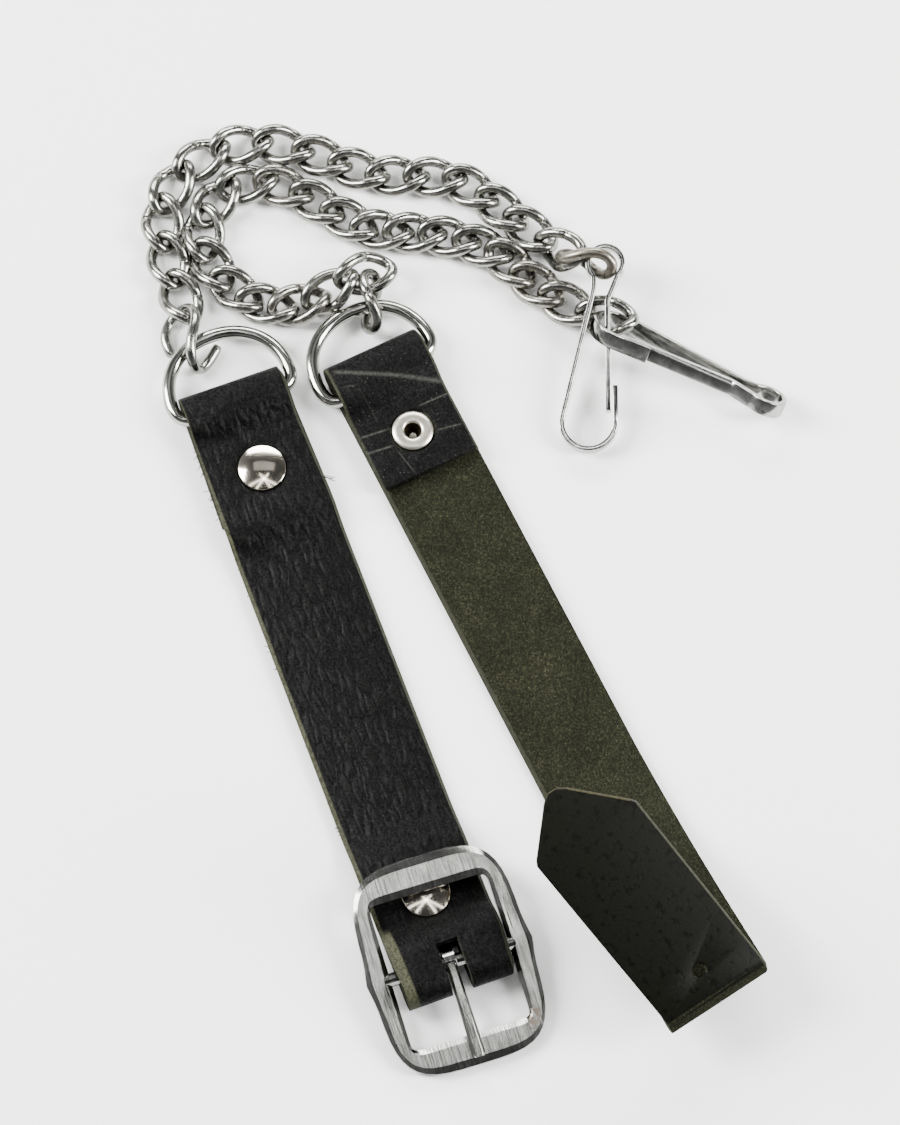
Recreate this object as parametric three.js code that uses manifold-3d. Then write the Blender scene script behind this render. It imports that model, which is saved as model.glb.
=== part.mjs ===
import * as THREE from 'three';
import { mergeVertices } from 'three/addons/utils/BufferGeometryUtils.js';
import Module from 'manifold-3d';

// A sporran chain strap lying on a table: two leather straps with D-rings, two curb chains, two flat
// spring clips and a centre-bar buckle. Millimetres, +Z up, the table is the plane z = 0.
const wasm = await Module();
wasm.setup();

// Clearances and leather
const GAP = 0.3;
const LEATHER = 2.2;
const STRAP_WIDTH = 25;
const FOLD_WIDTH = 23.6;
const EDGE_SLANT = 0.9;
const PLY_STEP = LEATHER + GAP;
const PRESSED_HEIGHT = LEATHER / 2 + PLY_STEP;
const STACK_TOP = PLY_STEP + LEATHER;
const HALF_TURN = 180;
const LOOP_STEPS = 10;
const LEVEL_STEPS = 4;
const STEP_RADIUS = 12;
const TIGHT_STEP_RADIUS = 7;

// D-rings
const RING_WIRE = 2.8;
const RING_HALF_WIDTH = 14.2;
const RING_DEPTH = 18;
const RING_CORNER = 3.5;
const RING_SHOULDER = 0.72;
const RING_CROWN = 0.55;
const RING_SEGMENTS = 28;
const RING_SIDES = 8;
const RING_LOOP_RADIUS = RING_WIRE / 2 + GAP + LEATHER / 2;
const RING_BAR_HEIGHT = RING_LOOP_RADIUS + LEATHER / 2;
const RING_LOOP_TOP = RING_BAR_HEIGHT + RING_LOOP_RADIUS;
const BUCKLE_RING_BAR_FROM_FOLD = 5.6;
const TIP_RING_BAR_FROM_FOLD = 7.6;
const TIP_RING_TURN = 5;

// Buckle strap: where it lies, its length from fold to fold and its rivets
const BUCKLE_STRAP_TURN = -69.6;
const BUCKLE_STRAP_FOLD = { x: -52.7, y: 50.2 };
const BUCKLE_STRAP_LENGTH = 152.4;
const RIVET_FROM_FOLD = 22.3;
const BUCKLE_RIVET_FROM_FOLD = 23.8;
const FLAP_FROM_FOLD = 31.5;
const FLAP_SET_BACK = 1;
const BUCKLE_FOLD_WIDTH = 24;
const LOOP_STRAIGHT = 6.5;
const SLOT_WIDTH = 4.9;
const SLOT_FROM_FOLD = 11;
const SLOT_LENGTH = 14;
const SLOT_CUT_HEIGHT = 30;

// Tip strap: where it lies, its crease and its sprung tip
const TIP_STRAP_TURN = -63.7;
const TIP_STRAP_FOLD = { x: -20.9, y: 58.4 };
const TIP_STRAP_WIDTH = 23;
const TIP_STRAP_LENGTH = 175;
const RISE_RUN = 62;
const RISE_ANGLE = 21;
const RISE_STEPS = 8;
const CREASE_RADIUS = 2.7;
const CREASE_STEPS = 10;
const CREASE_SKEW = 7.5;
const TIP_SPRING = 19;
const TIP_LENGTH = 43;
const TONGUE_HOLE_RADIUS = 1.6;
const TONGUE_HOLE_FROM_CREASE = 5;
const TIP_END_ROWS = [
  { run: 1.2, width: 24.2 },
  { run: 9.5, width: 6, steps: 2 },
  { run: 1.3, width: 2.2 },
];
const TIP_FLARE = 0.6;

// Rivets
const CAP_RADIUS = 5.5;
const BACK_RADIUS = 4.8;
const POST_RADIUS = 1.9;
const CAP_CROWN = 1.7;
const SEAT_DEPTH = 0.5;
const BACK_SEAT_DEPTH = 1.2;
const SEAT_CLEARANCE = 0.2;
const RIVET_SIDES = 20;
const POST_SIDES = 12;
const CAP_SEAT = STACK_TOP - SEAT_DEPTH + SEAT_CLEARANCE;
const BACK_BOTTOM = 0.1;
const BACK_TOP = BACK_SEAT_DEPTH - SEAT_CLEARANCE;

// Rivet profiles above the seat, as shares of the cap's radius and crown, and the rolled eyelet's rim
const CAP_PROFILE = [
  { radius: 1, rise: 0 },
  { radius: 1, rise: 0.35 },
  { radius: 0.88, rise: 0.7 },
  { radius: 0.6, rise: 0.93 },
  { radius: 0, rise: 1 },
];
const EYELET_PROFILE = [
  { radius: 4.8, rise: 0 },
  { radius: 4.8, rise: 0.4 },
  { radius: 3.85, rise: 0.85 },
  { radius: 2.35, rise: 0.75 },
  { radius: 1.8, rise: 0.4 },
];
const EYELET_FLOOR_RADIUS = 1.45;

// Buckle
const BUCKLE_TURN = -72.5;
const BUCKLE_TILT = 9.4;
const BUCKLE_BAR = { x: -2.7, y: -86.1, z: 5.2 };
const BAR_RADIUS = 1.6;
const BUCKLE_LOOP_RADIUS = BAR_RADIUS + GAP + LEATHER / 2;
const WINDOW_HALF_WIDTH = 13.5;
const WINDOW_HALF_LENGTH = 16.5;
const FRAME_HALF_WIDTH = 18;
const FRAME_REAR = 24.2;
const FRAME_FRONT = 23.2;
const FRAME_BULGE = 0.9;
const FRAME_BOTTOM = -1.3;
const FRAME_EDGE = 0.7;
const FRAME_CROWN = 1.4;
const FRAME_CROWN_SHARES = { inner: 0.2, outer: 0.75 };
const QUARTER_ANGLES = [0, 1.5, 4, 9, 18, 27, 36, 45, 54, 63, 72, 81, 86, 88.5];
const WINDOW_POWER = 24;
const FRAME_POWER = 4;
const BULGE_SPREAD = 3.5;
const BAR_SIDES = 12;
const BAR_SINK = 1.5;
const EYE_INNER = BAR_RADIUS + GAP;
const EYE_OUTER = EYE_INNER + 1.1;
const EYE_WIDTH = 2.6;
const TONGUE_THICKNESS = 1.6;
const TONGUE_SHOULDER = 0.3;
const TONGUE_TOP_SHARE = 0.55;

// The tongue's middle line from its eye to its point, and its width there
const TONGUE_ROWS = [
  { x: 0.6, z: 2.3, width: 2.2 },
  { x: 4, z: 2.75, width: 2.3 },
  { x: 9, z: 3.0, width: 2.5 },
  { x: 15, z: 2.75, width: 2.8 },
  { x: 21, z: 2.55, width: 3 },
  { x: 21.8, z: 2.55, width: 2.2 },
];

// Chain links
const LINK_WIRE = 2.1;
const LINK_LENGTH = 13;
const LINK_WIDTH = 7.6;
const LINK_TWIST = -45;
const LINK_SEGMENTS = 12;
const WIRE_SIDES = 6;
const OPEN_LINK_STEPS = 20;

// Spring clips: a strip bent on edge into a small loop, a neck, a hook and a straight gate
const CLIP_THICKNESS = 1.1;
const CLIP_STRIP = 3.6;
const CLIP_LOOP_RADIUS = 3.95;
const CLIP_LOOP_MOUTH = 45;
const CLIP_NECK = { leftX: -2.35, leftY: -5.6, rightX: 1.95, rightY: -5.2 };
const CLIP_BACK_TOP = { x: -3.6, y: -9.6 };
const CLIP_BACK_LEAN = 14;
const CLIP_HOOK_RADIUS = 6.1;
const CLIP_HOOK_X = -4.1;
const CLIP_HOOK_Y = -36.8;
const CLIP_HOOK_END_Y = -28.4;
const CLIP_GATE_X = 0.4;
const CLIP_GATE_TOP_Y = -8.6;
const CLIP_GATE_END_Y = -34.2;
const CLIP_DIVISIONS = 10;
const CLIP_SHORTEST = 0.05;

// Chain A: turning points of its route with the height of the links' middle, their roll, and the
// links from there to the next row
const CHAIN_A_ROUTE = [
  { x: -62.2, y: 66.8, z: 4.0, roll: 0, links: 1 },
  { x: -66.0, y: 76.0, z: 2.8, roll: 0, links: 2 },
  { x: -68.9, y: 95.0, z: 2.8, roll: 0, links: 1 },
  { x: -64.2, y: 103.6, z: 2.8, roll: 0, links: 1 },
  { x: -55.6, y: 109.2, z: 2.8, roll: 0, links: 1 },
  { x: -45.8, y: 110.8, z: 2.8, roll: 0, links: 1 },
  { x: -36.2, y: 108.4, z: 2.8, roll: 0, links: 2 },
  { x: -19.2, y: 102.2, z: 2.8, roll: 0, links: 2 },
  { x: -1.6, y: 101.4, z: 2.8, roll: 0, links: 2 },
  { x: 12.4, y: 90.9, z: 2.9, roll: 0, links: 1 },
  { x: 18.8, y: 85.6, z: 3.4, roll: 20, links: 0 },
];

// Chain B, from the second ring to the second clip
const CHAIN_B_ROUTE = [
  { x: -26.4, y: 74.0, z: 7.2, roll: 0, links: 1 },
  { x: -33.2, y: 70.8, z: 3.8, roll: 0, links: 1 },
  { x: -40.6, y: 69.2, z: 2.8, roll: 0, links: 1 },
  { x: -48.2, y: 70.8, z: 2.8, roll: 0, links: 1 },
  { x: -54.8, y: 76.0, z: 2.8, roll: 0, links: 1 },
  { x: -59.0, y: 83.2, z: 2.8, roll: 0, links: 1 },
  { x: -59.2, y: 92.0, z: 2.8, roll: 0, links: 1 },
  { x: -53.5, y: 99.2, z: 2.8, roll: 0, links: 1 },
  { x: -45.2, y: 101.0, z: 2.8, roll: 0, links: 1 },
  { x: -36.6, y: 97.4, z: 2.8, roll: 0, links: 2 },
  { x: -22.0, y: 88.8, z: 2.8, roll: 0, links: 2 },
  { x: -6.8, y: 87.6, z: 2.8, roll: 0, links: 2 },
  { x: 8.4, y: 82.8, z: 2.8, roll: 0, links: 1 },
  { x: 14.0, y: 77.0, z: 2.8, roll: 0, links: 1 },
  { x: 20.6, y: 72.2, z: 2.8, roll: 5, links: 0 },
];

// The end link of chain A, prised open: it runs under the first ring, over it, and back
const OPEN_LINK_ROUTE = [
  { x: -65.9, y: 57.9, z: 1.4 },
  { x: -67.6, y: 62.0, z: 1.5 },
  { x: -66.4, y: 66.2, z: 1.6 },
  { x: -62.6, y: 69.0, z: 3.6 },
  { x: -60.4, y: 65.6, z: 6.8 },
  { x: -61.4, y: 58.6, z: 7.5 },
  { x: -60.9, y: 54.4, z: 5.2 },
  { x: -59.6, y: 53.9, z: 2.2 },
  { x: -57.5, y: 56.5, z: 1.3 },
  { x: -55.5, y: 60.3, z: 1.3 },
];

// Links that hang at a ring or a clip: middle, heading, pitch and roll of each
const LOOSE_LINKS = [
  { name: 'chain_a_link_16', x: 22.5, y: 82.5, z: 5.5, turn: -35, pitch: 28, roll: 41 },
  { name: 'chain_a_link_17', x: 28.5, y: 77.9, z: 9.7, turn: -22, pitch: 19, roll: 94 },
  { name: 'chain_b_link_01', x: -20.6, y: 69.9, z: 4.9, turn: 92, pitch: 11, roll: 86 },
  { name: 'chain_b_link_02', x: -22.0, y: 75.8, z: 7.3, turn: 16, pitch: -10, roll: 24 },
  { name: 'chain_b_link_20', x: 24.2, y: 69.9, z: 3.1, turn: -28, pitch: 2, roll: 10 },
  { name: 'chain_b_link_21', x: 33.0, y: 66.4, z: 4.0, turn: -15, pitch: 13, roll: 18 },
];

// How each clip lies: the middle of its loop, its turn on the table, its pitch and its roll
const CLIP_POSES = [
  { name: 'clip_a', x: 32.69, y: 76.9, z: 10.06, turn: 0.3, pitch: 10.0, roll: -2.5 },
  { name: 'clip_b', x: 68.81, y: 45.36, z: 5.44, turn: -112.1, pitch: -5.5, roll: -44.8 },
];

const part = new THREE.Group();
const radians = THREE.MathUtils.degToRad;

// Solids and booleans

function solidFrom(geometry) {
  const bare = geometry.clone();
  bare.deleteAttribute('normal');
  bare.deleteAttribute('uv');
  const merged = mergeVertices(bare, 1e-4);
  return new wasm.Manifold(new wasm.Mesh({
    numProp: 3,
    vertProperties: new Float32Array(merged.attributes.position.array),
    triVerts: new Uint32Array(merged.index.array),
  }));
}

function geometryFrom(solid) {
  const mesh = solid.getMesh();
  const geometry = new THREE.BufferGeometry();
  geometry.setAttribute('position', new THREE.BufferAttribute(new Float32Array(mesh.vertProperties), 3));
  geometry.setIndex(new THREE.BufferAttribute(new Uint32Array(mesh.triVerts), 1));
  geometry.computeVertexNormals();
  return geometry;
}

function cutAway(geometry, cutters) {
  const uncut = solidFrom(geometry);
  return geometryFrom(cutters.reduce((solid, cutter) => solid.subtract(solidFrom(cutter)), uncut));
}

function join(geometries) {
  return geometryFrom(geometries.map(solidFrom).reduce((whole, piece) => whole.add(piece)));
}

// Skins a row of rings that all have the same number of corners. A closed row joins its last ring to
// its first, an open one is capped at both ends.
function skinRings(rings, closed) {
  const corners = rings[0].length;
  const positions = rings.flat().flatMap((point) => [point.x, point.y, point.z]);
  const faces = [];
  const spans = closed ? rings.length : rings.length - 1;
  for (let ring = 0; ring < spans; ring += 1) {
    const next = (ring + 1) % rings.length;
    for (let corner = 0; corner < corners; corner += 1) {
      const side = (corner + 1) % corners;
      const here = ring * corners;
      const there = next * corners;
      faces.push(here + corner, here + side, there + side);
      faces.push(here + corner, there + side, there + corner);
    }
  }
  if (!closed) {
    const last = (rings.length - 1) * corners;
    for (let corner = 1; corner < corners - 1; corner += 1) {
      faces.push(0, corner + 1, corner);
      faces.push(last, last + corner, last + corner + 1);
    }
  }
  const geometry = new THREE.BufferGeometry();
  geometry.setAttribute('position', new THREE.Float32BufferAttribute(positions, 3));
  geometry.setIndex(faces);
  geometry.computeVertexNormals();
  return geometry;
}

// A closed loop of round wire: pointAt gives its middle for a share from 0 to 1 of the way round
function wireLoop(pointAt, wire, segments, sides) {
  const rings = [];
  const step = 1e-3;
  for (let index = 0; index < segments; index += 1) {
    const share = index / segments;
    const middle = pointAt(share);
    const along = pointAt(share + step).sub(pointAt(share - step)).normalize();
    const lift = new THREE.Vector3(0, 0, 1);
    lift.addScaledVector(along, -lift.dot(along)).normalize();
    const out = new THREE.Vector3().crossVectors(along, lift);
    rings.push(Array.from({ length: sides }, (_, side) => {
      const angle = (side / sides) * 2 * Math.PI;
      return middle.clone()
        .addScaledVector(out, Math.cos(angle) * wire / 2)
        .addScaledVector(lift, -Math.sin(angle) * wire / 2);
    }));
  }
  return skinRings(rings, true);
}

function metal(colour, roughness) {
  return new THREE.MeshStandardMaterial({ color: colour, roughness, metalness: 1 });
}

function leather(colour) {
  return new THREE.MeshStandardMaterial({ color: colour, roughness: 0.7, metalness: 0 });
}

function addPiece(name, geometry, material, parent = part) {
  const mesh = new THREE.Mesh(geometry, material);
  mesh.name = name;
  parent.add(mesh);
  return mesh;
}

// Straps

// Walks along a strap's middle, from its start at x, z. Each row turns the heading by bend degrees
// over its run and ends with its width and its skew, the plan angle of the lines across the strap.
function walkStrap(start, rows) {
  const stations = [];
  const place = new THREE.Vector3(start.x, 0, start.z);
  let heading = radians(start.heading);
  let width = start.width;
  let skew = 0;
  const mark = () => {
    const ahead = new THREE.Vector3(Math.cos(skew), Math.sin(skew), 0);
    const across = new THREE.Vector3(-Math.sin(skew), Math.cos(skew), 0);
    const normal = ahead.clone().multiplyScalar(-Math.sin(heading));
    normal.z = Math.cos(heading);
    stations.push({ place: place.clone(), across, normal, width: width / Math.cos(skew) });
  };
  mark();
  for (const row of rows) {
    const steps = row.steps ?? 1;
    const bend = radians(row.bend ?? 0) / steps;
    const widening = ((row.width ?? width) - width) / steps;
    const skewing = (radians(row.skew ?? THREE.MathUtils.radToDeg(skew)) - skew) / steps;
    for (let step = 0; step < steps; step += 1) {
      skew += skewing;
      const middle = heading + bend / 2;
      const chord = bend === 0 ? 1 : Math.sin(bend / 2) / (bend / 2);
      const run = (row.run / steps) * chord;
      const ahead = new THREE.Vector3(Math.cos(skew), Math.sin(skew), 0);
      const across = new THREE.Vector3(-Math.sin(skew), Math.cos(skew), 0);
      place.addScaledVector(ahead, run * Math.cos(skew) * Math.cos(middle));
      place.addScaledVector(across, -run * Math.sin(skew));
      place.z += run * Math.cos(skew) * Math.sin(middle);
      heading += bend;
      width += widening;
      mark();
    }
  }
  return stations;
}

// Four corners across the strap; the flesh side stands out past the grain side at one edge
function strapSolid(stations, fleshSide) {
  const rings = stations.map(({ place, across, normal, width }) => {
    const corner = (edge, face) => place.clone()
      .addScaledVector(across, edge * width / 2 - face * fleshSide * EDGE_SLANT / 2)
      .addScaledVector(normal, face * LEATHER / 2);
    return [corner(-1, -1), corner(1, -1), corner(1, 1), corner(-1, 1)];
  });
  return skinRings(rings, false);
}

// A gentle step from one level to another, with rows that turn one way and then back
function stepRows(rise, radius, way) {
  const angle = THREE.MathUtils.radToDeg(Math.acos(1 - Math.abs(rise) / (2 * radius)));
  const turn = Math.sign(rise) * way * angle;
  const run = radius * radians(angle);
  return [{ run, bend: turn, steps: 3 }, { run, bend: -turn, steps: 3 }];
}

// How far rows that set out level carry along the strap
function stepReach(rise, radius) {
  const angle = Math.acos(1 - Math.abs(rise) / (2 * radius));
  return 2 * radius * Math.sin(angle);
}

function halfLoop(radius, way, width) {
  return { run: Math.PI * radius, bend: way * HALF_TURN, steps: LOOP_STEPS, width };
}

// Buckle strap, walked from the flap under the ring to the flap under the buckle
const ringFoldX = RING_LOOP_RADIUS + LEATHER / 2;
const ringDrop = RING_LOOP_TOP - PRESSED_HEIGHT;
const ringDropReach = stepReach(ringDrop, TIGHT_STEP_RADIUS);
const buckleRingStraight = BUCKLE_RING_BAR_FROM_FOLD - ringFoldX;
const tipRingStraight = TIP_RING_BAR_FROM_FOLD - ringFoldX;
const flapDropReach = stepReach(PLY_STEP, STEP_RADIUS);
const buckleFoldX = BUCKLE_STRAP_LENGTH - BUCKLE_LOOP_RADIUS - LEATHER / 2;
const buckleTop = BUCKLE_BAR.z + BUCKLE_LOOP_RADIUS;
const buckleBottom = BUCKLE_BAR.z - BUCKLE_LOOP_RADIUS;
const buckleRiseReach = stepReach(buckleTop - PRESSED_HEIGHT, TIGHT_STEP_RADIUS);
const buckleDropReach = stepReach(buckleBottom - LEATHER / 2, STEP_RADIUS);
const pressedStart = BUCKLE_RING_BAR_FROM_FOLD + ringDropReach;
const tipPressedStart = TIP_RING_BAR_FROM_FOLD + ringDropReach;
const bodyStart = FLAP_FROM_FOLD + FLAP_SET_BACK + flapDropReach;
const bodyEnd = BUCKLE_STRAP_LENGTH - FLAP_FROM_FOLD - FLAP_SET_BACK - flapDropReach;
const pressedEnd = buckleFoldX - LOOP_STRAIGHT - buckleRiseReach;
const underFlapStart = buckleFoldX - LOOP_STRAIGHT - buckleDropReach;
const underFlapRun = underFlapStart - (BUCKLE_STRAP_LENGTH - FLAP_FROM_FOLD);

const buckleStations = walkStrap(
  { x: FLAP_FROM_FOLD, z: LEATHER / 2, heading: HALF_TURN, width: STRAP_WIDTH },
  [
    { run: FLAP_FROM_FOLD - ringFoldX, steps: LEVEL_STEPS, width: FOLD_WIDTH },
    halfLoop(RING_LOOP_RADIUS, -1, FOLD_WIDTH),
    { run: buckleRingStraight },
    ...stepRows(-ringDrop, TIGHT_STEP_RADIUS, 1),
    { run: FLAP_FROM_FOLD + FLAP_SET_BACK - pressedStart, steps: 2, width: STRAP_WIDTH },
    ...stepRows(-PLY_STEP, STEP_RADIUS, 1),
    { run: bodyEnd - bodyStart, steps: LEVEL_STEPS },
    ...stepRows(PLY_STEP, STEP_RADIUS, 1),
    { run: pressedEnd - bodyEnd - flapDropReach, steps: 2 },
    ...stepRows(buckleTop - PRESSED_HEIGHT, TIGHT_STEP_RADIUS, 1),
    { run: LOOP_STRAIGHT, steps: 2, width: BUCKLE_FOLD_WIDTH },
    halfLoop(BUCKLE_LOOP_RADIUS, -1, BUCKLE_FOLD_WIDTH),
    { run: LOOP_STRAIGHT, steps: 2 },
    ...stepRows(buckleBottom - LEATHER / 2, STEP_RADIUS, 1),
    { run: underFlapRun, steps: 2 },
  ],
);

function uprightCylinder(radius, bottom, top, x, sides) {
  const geometry = new THREE.CylinderGeometry(radius, radius, top - bottom, sides);
  geometry.rotateX(Math.PI / 2);
  geometry.translate(x, 0, (top + bottom) / 2);
  return geometry;
}

// The seats that a rivet presses in the leather: cap or back above, the other below, a hole between
function rivetSeats(x, topRadius, bottomRadius) {
  return [
    uprightCylinder(POST_RADIUS + GAP, -STACK_TOP, 2 * STACK_TOP, x, POST_SIDES),
    uprightCylinder(topRadius + GAP, STACK_TOP - SEAT_DEPTH, STACK_TOP + CAP_CROWN, x, RIVET_SIDES),
    uprightCylinder(bottomRadius + GAP, -STACK_TOP, BACK_SEAT_DEPTH, x, RIVET_SIDES),
  ];
}

const buckleRivetX = BUCKLE_STRAP_LENGTH - BUCKLE_RIVET_FROM_FOLD;
const tongueSlot = new THREE.BoxGeometry(SLOT_LENGTH, SLOT_WIDTH, SLOT_CUT_HEIGHT);
tongueSlot.translate(BUCKLE_STRAP_LENGTH - SLOT_FROM_FOLD + SLOT_LENGTH / 2, 0, 0);
const buckleStrap = cutAway(strapSolid(buckleStations, 1), [
  ...rivetSeats(RIVET_FROM_FOLD, CAP_RADIUS, BACK_RADIUS),
  ...rivetSeats(buckleRivetX, CAP_RADIUS, BACK_RADIUS),
  tongueSlot,
]);

const buckleStrapGroup = new THREE.Group();
buckleStrapGroup.position.set(BUCKLE_STRAP_FOLD.x, BUCKLE_STRAP_FOLD.y, 0);
buckleStrapGroup.rotation.z = radians(BUCKLE_STRAP_TURN);
part.add(buckleStrapGroup);
addPiece('strap_buckle_side', buckleStrap, leather(0x20201e), buckleStrapGroup);

// Tip strap, walked from the flap on top, round the ring, along the table and over the crease
const creaseBend = HALF_TURN - TIP_SPRING - RISE_ANGLE;
const bodyRun = TIP_STRAP_LENGTH - ringFoldX - RISE_RUN - CREASE_RADIUS;
const tipStations = walkStrap(
  { x: FLAP_FROM_FOLD + FLAP_SET_BACK, z: PRESSED_HEIGHT, heading: HALF_TURN, width: TIP_STRAP_WIDTH },
  [
    { run: FLAP_FROM_FOLD + FLAP_SET_BACK - tipPressedStart, steps: 2 },
    ...stepRows(ringDrop, TIGHT_STEP_RADIUS, -1),
    { run: tipRingStraight },
    halfLoop(RING_LOOP_RADIUS, 1, TIP_STRAP_WIDTH),
    { run: bodyRun, steps: LEVEL_STEPS },
    { run: RISE_RUN, bend: RISE_ANGLE, steps: RISE_STEPS, skew: CREASE_SKEW, width: STRAP_WIDTH },
    { run: CREASE_RADIUS * radians(creaseBend), bend: creaseBend, steps: CREASE_STEPS },
    { run: TONGUE_HOLE_FROM_CREASE },
    { run: TIP_LENGTH - TONGUE_HOLE_FROM_CREASE, steps: LEVEL_STEPS, width: STRAP_WIDTH + TIP_FLARE },
    ...TIP_END_ROWS,
  ],
);
const stationsPastHole = TIP_END_ROWS.reduce((sum, row) => sum + (row.steps ?? 1), LEVEL_STEPS);
const holeStation = tipStations[tipStations.length - 1 - stationsPastHole];
const punch = { radius: TONGUE_HOLE_RADIUS, length: 2 * LEATHER };
const tongueHole = new THREE.CylinderGeometry(punch.radius, punch.radius, punch.length, POST_SIDES);
tongueHole.applyQuaternion(new THREE.Quaternion().setFromUnitVectors(
  new THREE.Vector3(0, 1, 0),
  holeStation.normal,
));
tongueHole.translate(holeStation.place.x, holeStation.place.y, holeStation.place.z);
const tipStrap = cutAway(strapSolid(tipStations, -1), [
  ...rivetSeats(RIVET_FROM_FOLD, BACK_RADIUS, CAP_RADIUS),
  tongueHole,
]);
const tipStrapGroup = new THREE.Group();
tipStrapGroup.position.set(TIP_STRAP_FOLD.x, TIP_STRAP_FOLD.y, 0);
tipStrapGroup.rotation.z = radians(TIP_STRAP_TURN);
part.add(tipStrapGroup);
addPiece('strap_tip_side', tipStrap, leather(0x33352a), tipStrapGroup);

// Rivets: turned about the post, z up, each one solid

function turned(profile) {
  const outline = profile.map(({ radius, z }) => new THREE.Vector2(radius, z));
  const geometry = new THREE.LatheGeometry(outline, RIVET_SIDES);
  geometry.rotateX(Math.PI / 2);
  return geometry;
}

// Everything under the cap: the back plate and the post
function underCap(backRadius) {
  return [
    { radius: 0, z: BACK_BOTTOM },
    { radius: backRadius, z: BACK_BOTTOM },
    { radius: backRadius, z: BACK_TOP },
    { radius: POST_RADIUS, z: BACK_TOP },
    { radius: POST_RADIUS, z: CAP_SEAT },
  ];
}

const capRivet = turned([
  ...underCap(BACK_RADIUS),
  ...CAP_PROFILE.map(({ radius, rise }) => ({ radius: radius * CAP_RADIUS, z: CAP_SEAT + rise * CAP_CROWN })),
]);
const hollowRivet = turned([
  ...underCap(CAP_RADIUS),
  ...EYELET_PROFILE.map(({ radius, rise }) => ({ radius, z: CAP_SEAT + rise })),
  { radius: EYELET_FLOOR_RADIUS, z: BACK_TOP },
  { radius: 0, z: BACK_TOP },
]);
const ringRivet = addPiece('rivet_buckle_strap_ring_end', capRivet, metal(0xcfc9bd, 0.2), buckleStrapGroup);
ringRivet.position.x = RIVET_FROM_FOLD;
const endRivet = addPiece('rivet_buckle_strap_buckle_end', capRivet, metal(0xcfc9bd, 0.2), buckleStrapGroup);
endRivet.position.x = buckleRivetX;
const tipRivet = addPiece('rivet_tip_strap', hollowRivet, metal(0xb9b1a2, 0.35), tipStrapGroup);
tipRivet.position.x = RIVET_FROM_FOLD;

// D-rings: a straight bar with rounded corners and a bow, bent from one wire

const bow = new THREE.Path();
const bowShoulder = RING_DEPTH * RING_SHOULDER;
const bowCrown = RING_HALF_WIDTH * RING_CROWN;
bow.moveTo(0, -RING_HALF_WIDTH + RING_CORNER);
bow.lineTo(0, RING_HALF_WIDTH - RING_CORNER);
bow.quadraticCurveTo(0, RING_HALF_WIDTH, -RING_CORNER, RING_HALF_WIDTH);
bow.bezierCurveTo(-bowShoulder, RING_HALF_WIDTH, -RING_DEPTH, bowCrown, -RING_DEPTH, 0);
bow.bezierCurveTo(-RING_DEPTH, -bowCrown, -bowShoulder, -RING_HALF_WIDTH, -RING_CORNER, -RING_HALF_WIDTH);
bow.quadraticCurveTo(0, -RING_HALF_WIDTH, 0, -RING_HALF_WIDTH + RING_CORNER);

function ringPoint(share) {
  const point = bow.getPointAt((share + 1) % 1);
  return new THREE.Vector3(point.x, point.y, 0);
}

const ringShape = wireLoop(ringPoint, RING_WIRE, RING_SEGMENTS, RING_SIDES);
const buckleRing = addPiece('d_ring_buckle_strap', ringShape, metal(0xc4c4c0, 0.15), buckleStrapGroup);
buckleRing.position.set(BUCKLE_RING_BAR_FROM_FOLD, 0, RING_BAR_HEIGHT);
const tipRing = addPiece('d_ring_tip_strap', ringShape, metal(0xc4c4c0, 0.15), tipStrapGroup);
tipRing.position.set(TIP_RING_BAR_FROM_FOLD, 0, RING_BAR_HEIGHT);
tipRing.rotation.z = radians(TIP_RING_TURN);

// Buckle: a barrel-shaped frame cast in one with its centre bar, and a tongue bent round the bar

function rounded(half, power, angle) {
  return Math.sign(angle) * half * Math.abs(angle) ** (2 / power);
}

function frameRing(angle) {
  const ahead = Math.cos(radians(angle));
  const aside = Math.sin(radians(angle));
  const inner = new THREE.Vector3(
    rounded(WINDOW_HALF_LENGTH, WINDOW_POWER, ahead),
    rounded(WINDOW_HALF_WIDTH, WINDOW_POWER, aside),
    0,
  );
  const outer = new THREE.Vector3(
    rounded(ahead > 0 ? FRAME_FRONT : FRAME_REAR, FRAME_POWER, ahead),
    rounded(FRAME_HALF_WIDTH, FRAME_POWER, aside),
    0,
  );
  outer.y += Math.sign(aside) * FRAME_BULGE * Math.exp(-((outer.x / BULGE_SPREAD) ** 2));
  const at = (share, z) => inner.clone().lerp(outer, share).setZ(z);
  return [
    at(0, FRAME_BOTTOM),
    at(0, FRAME_EDGE),
    at(FRAME_CROWN_SHARES.inner, FRAME_CROWN),
    at(FRAME_CROWN_SHARES.outer, FRAME_CROWN),
    at(1, FRAME_EDGE),
    at(1, FRAME_BOTTOM),
  ];
}

const frameAngles = [0, 90, 180, 270].flatMap((turn) => QUARTER_ANGLES.map((angle) => turn + angle));
const frameBody = skinRings(frameAngles.map(frameRing), true);
const barLength = 2 * (WINDOW_HALF_WIDTH + BAR_SINK);
const frameBar = new THREE.CylinderGeometry(BAR_RADIUS, BAR_RADIUS, barLength, BAR_SIDES);

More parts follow.
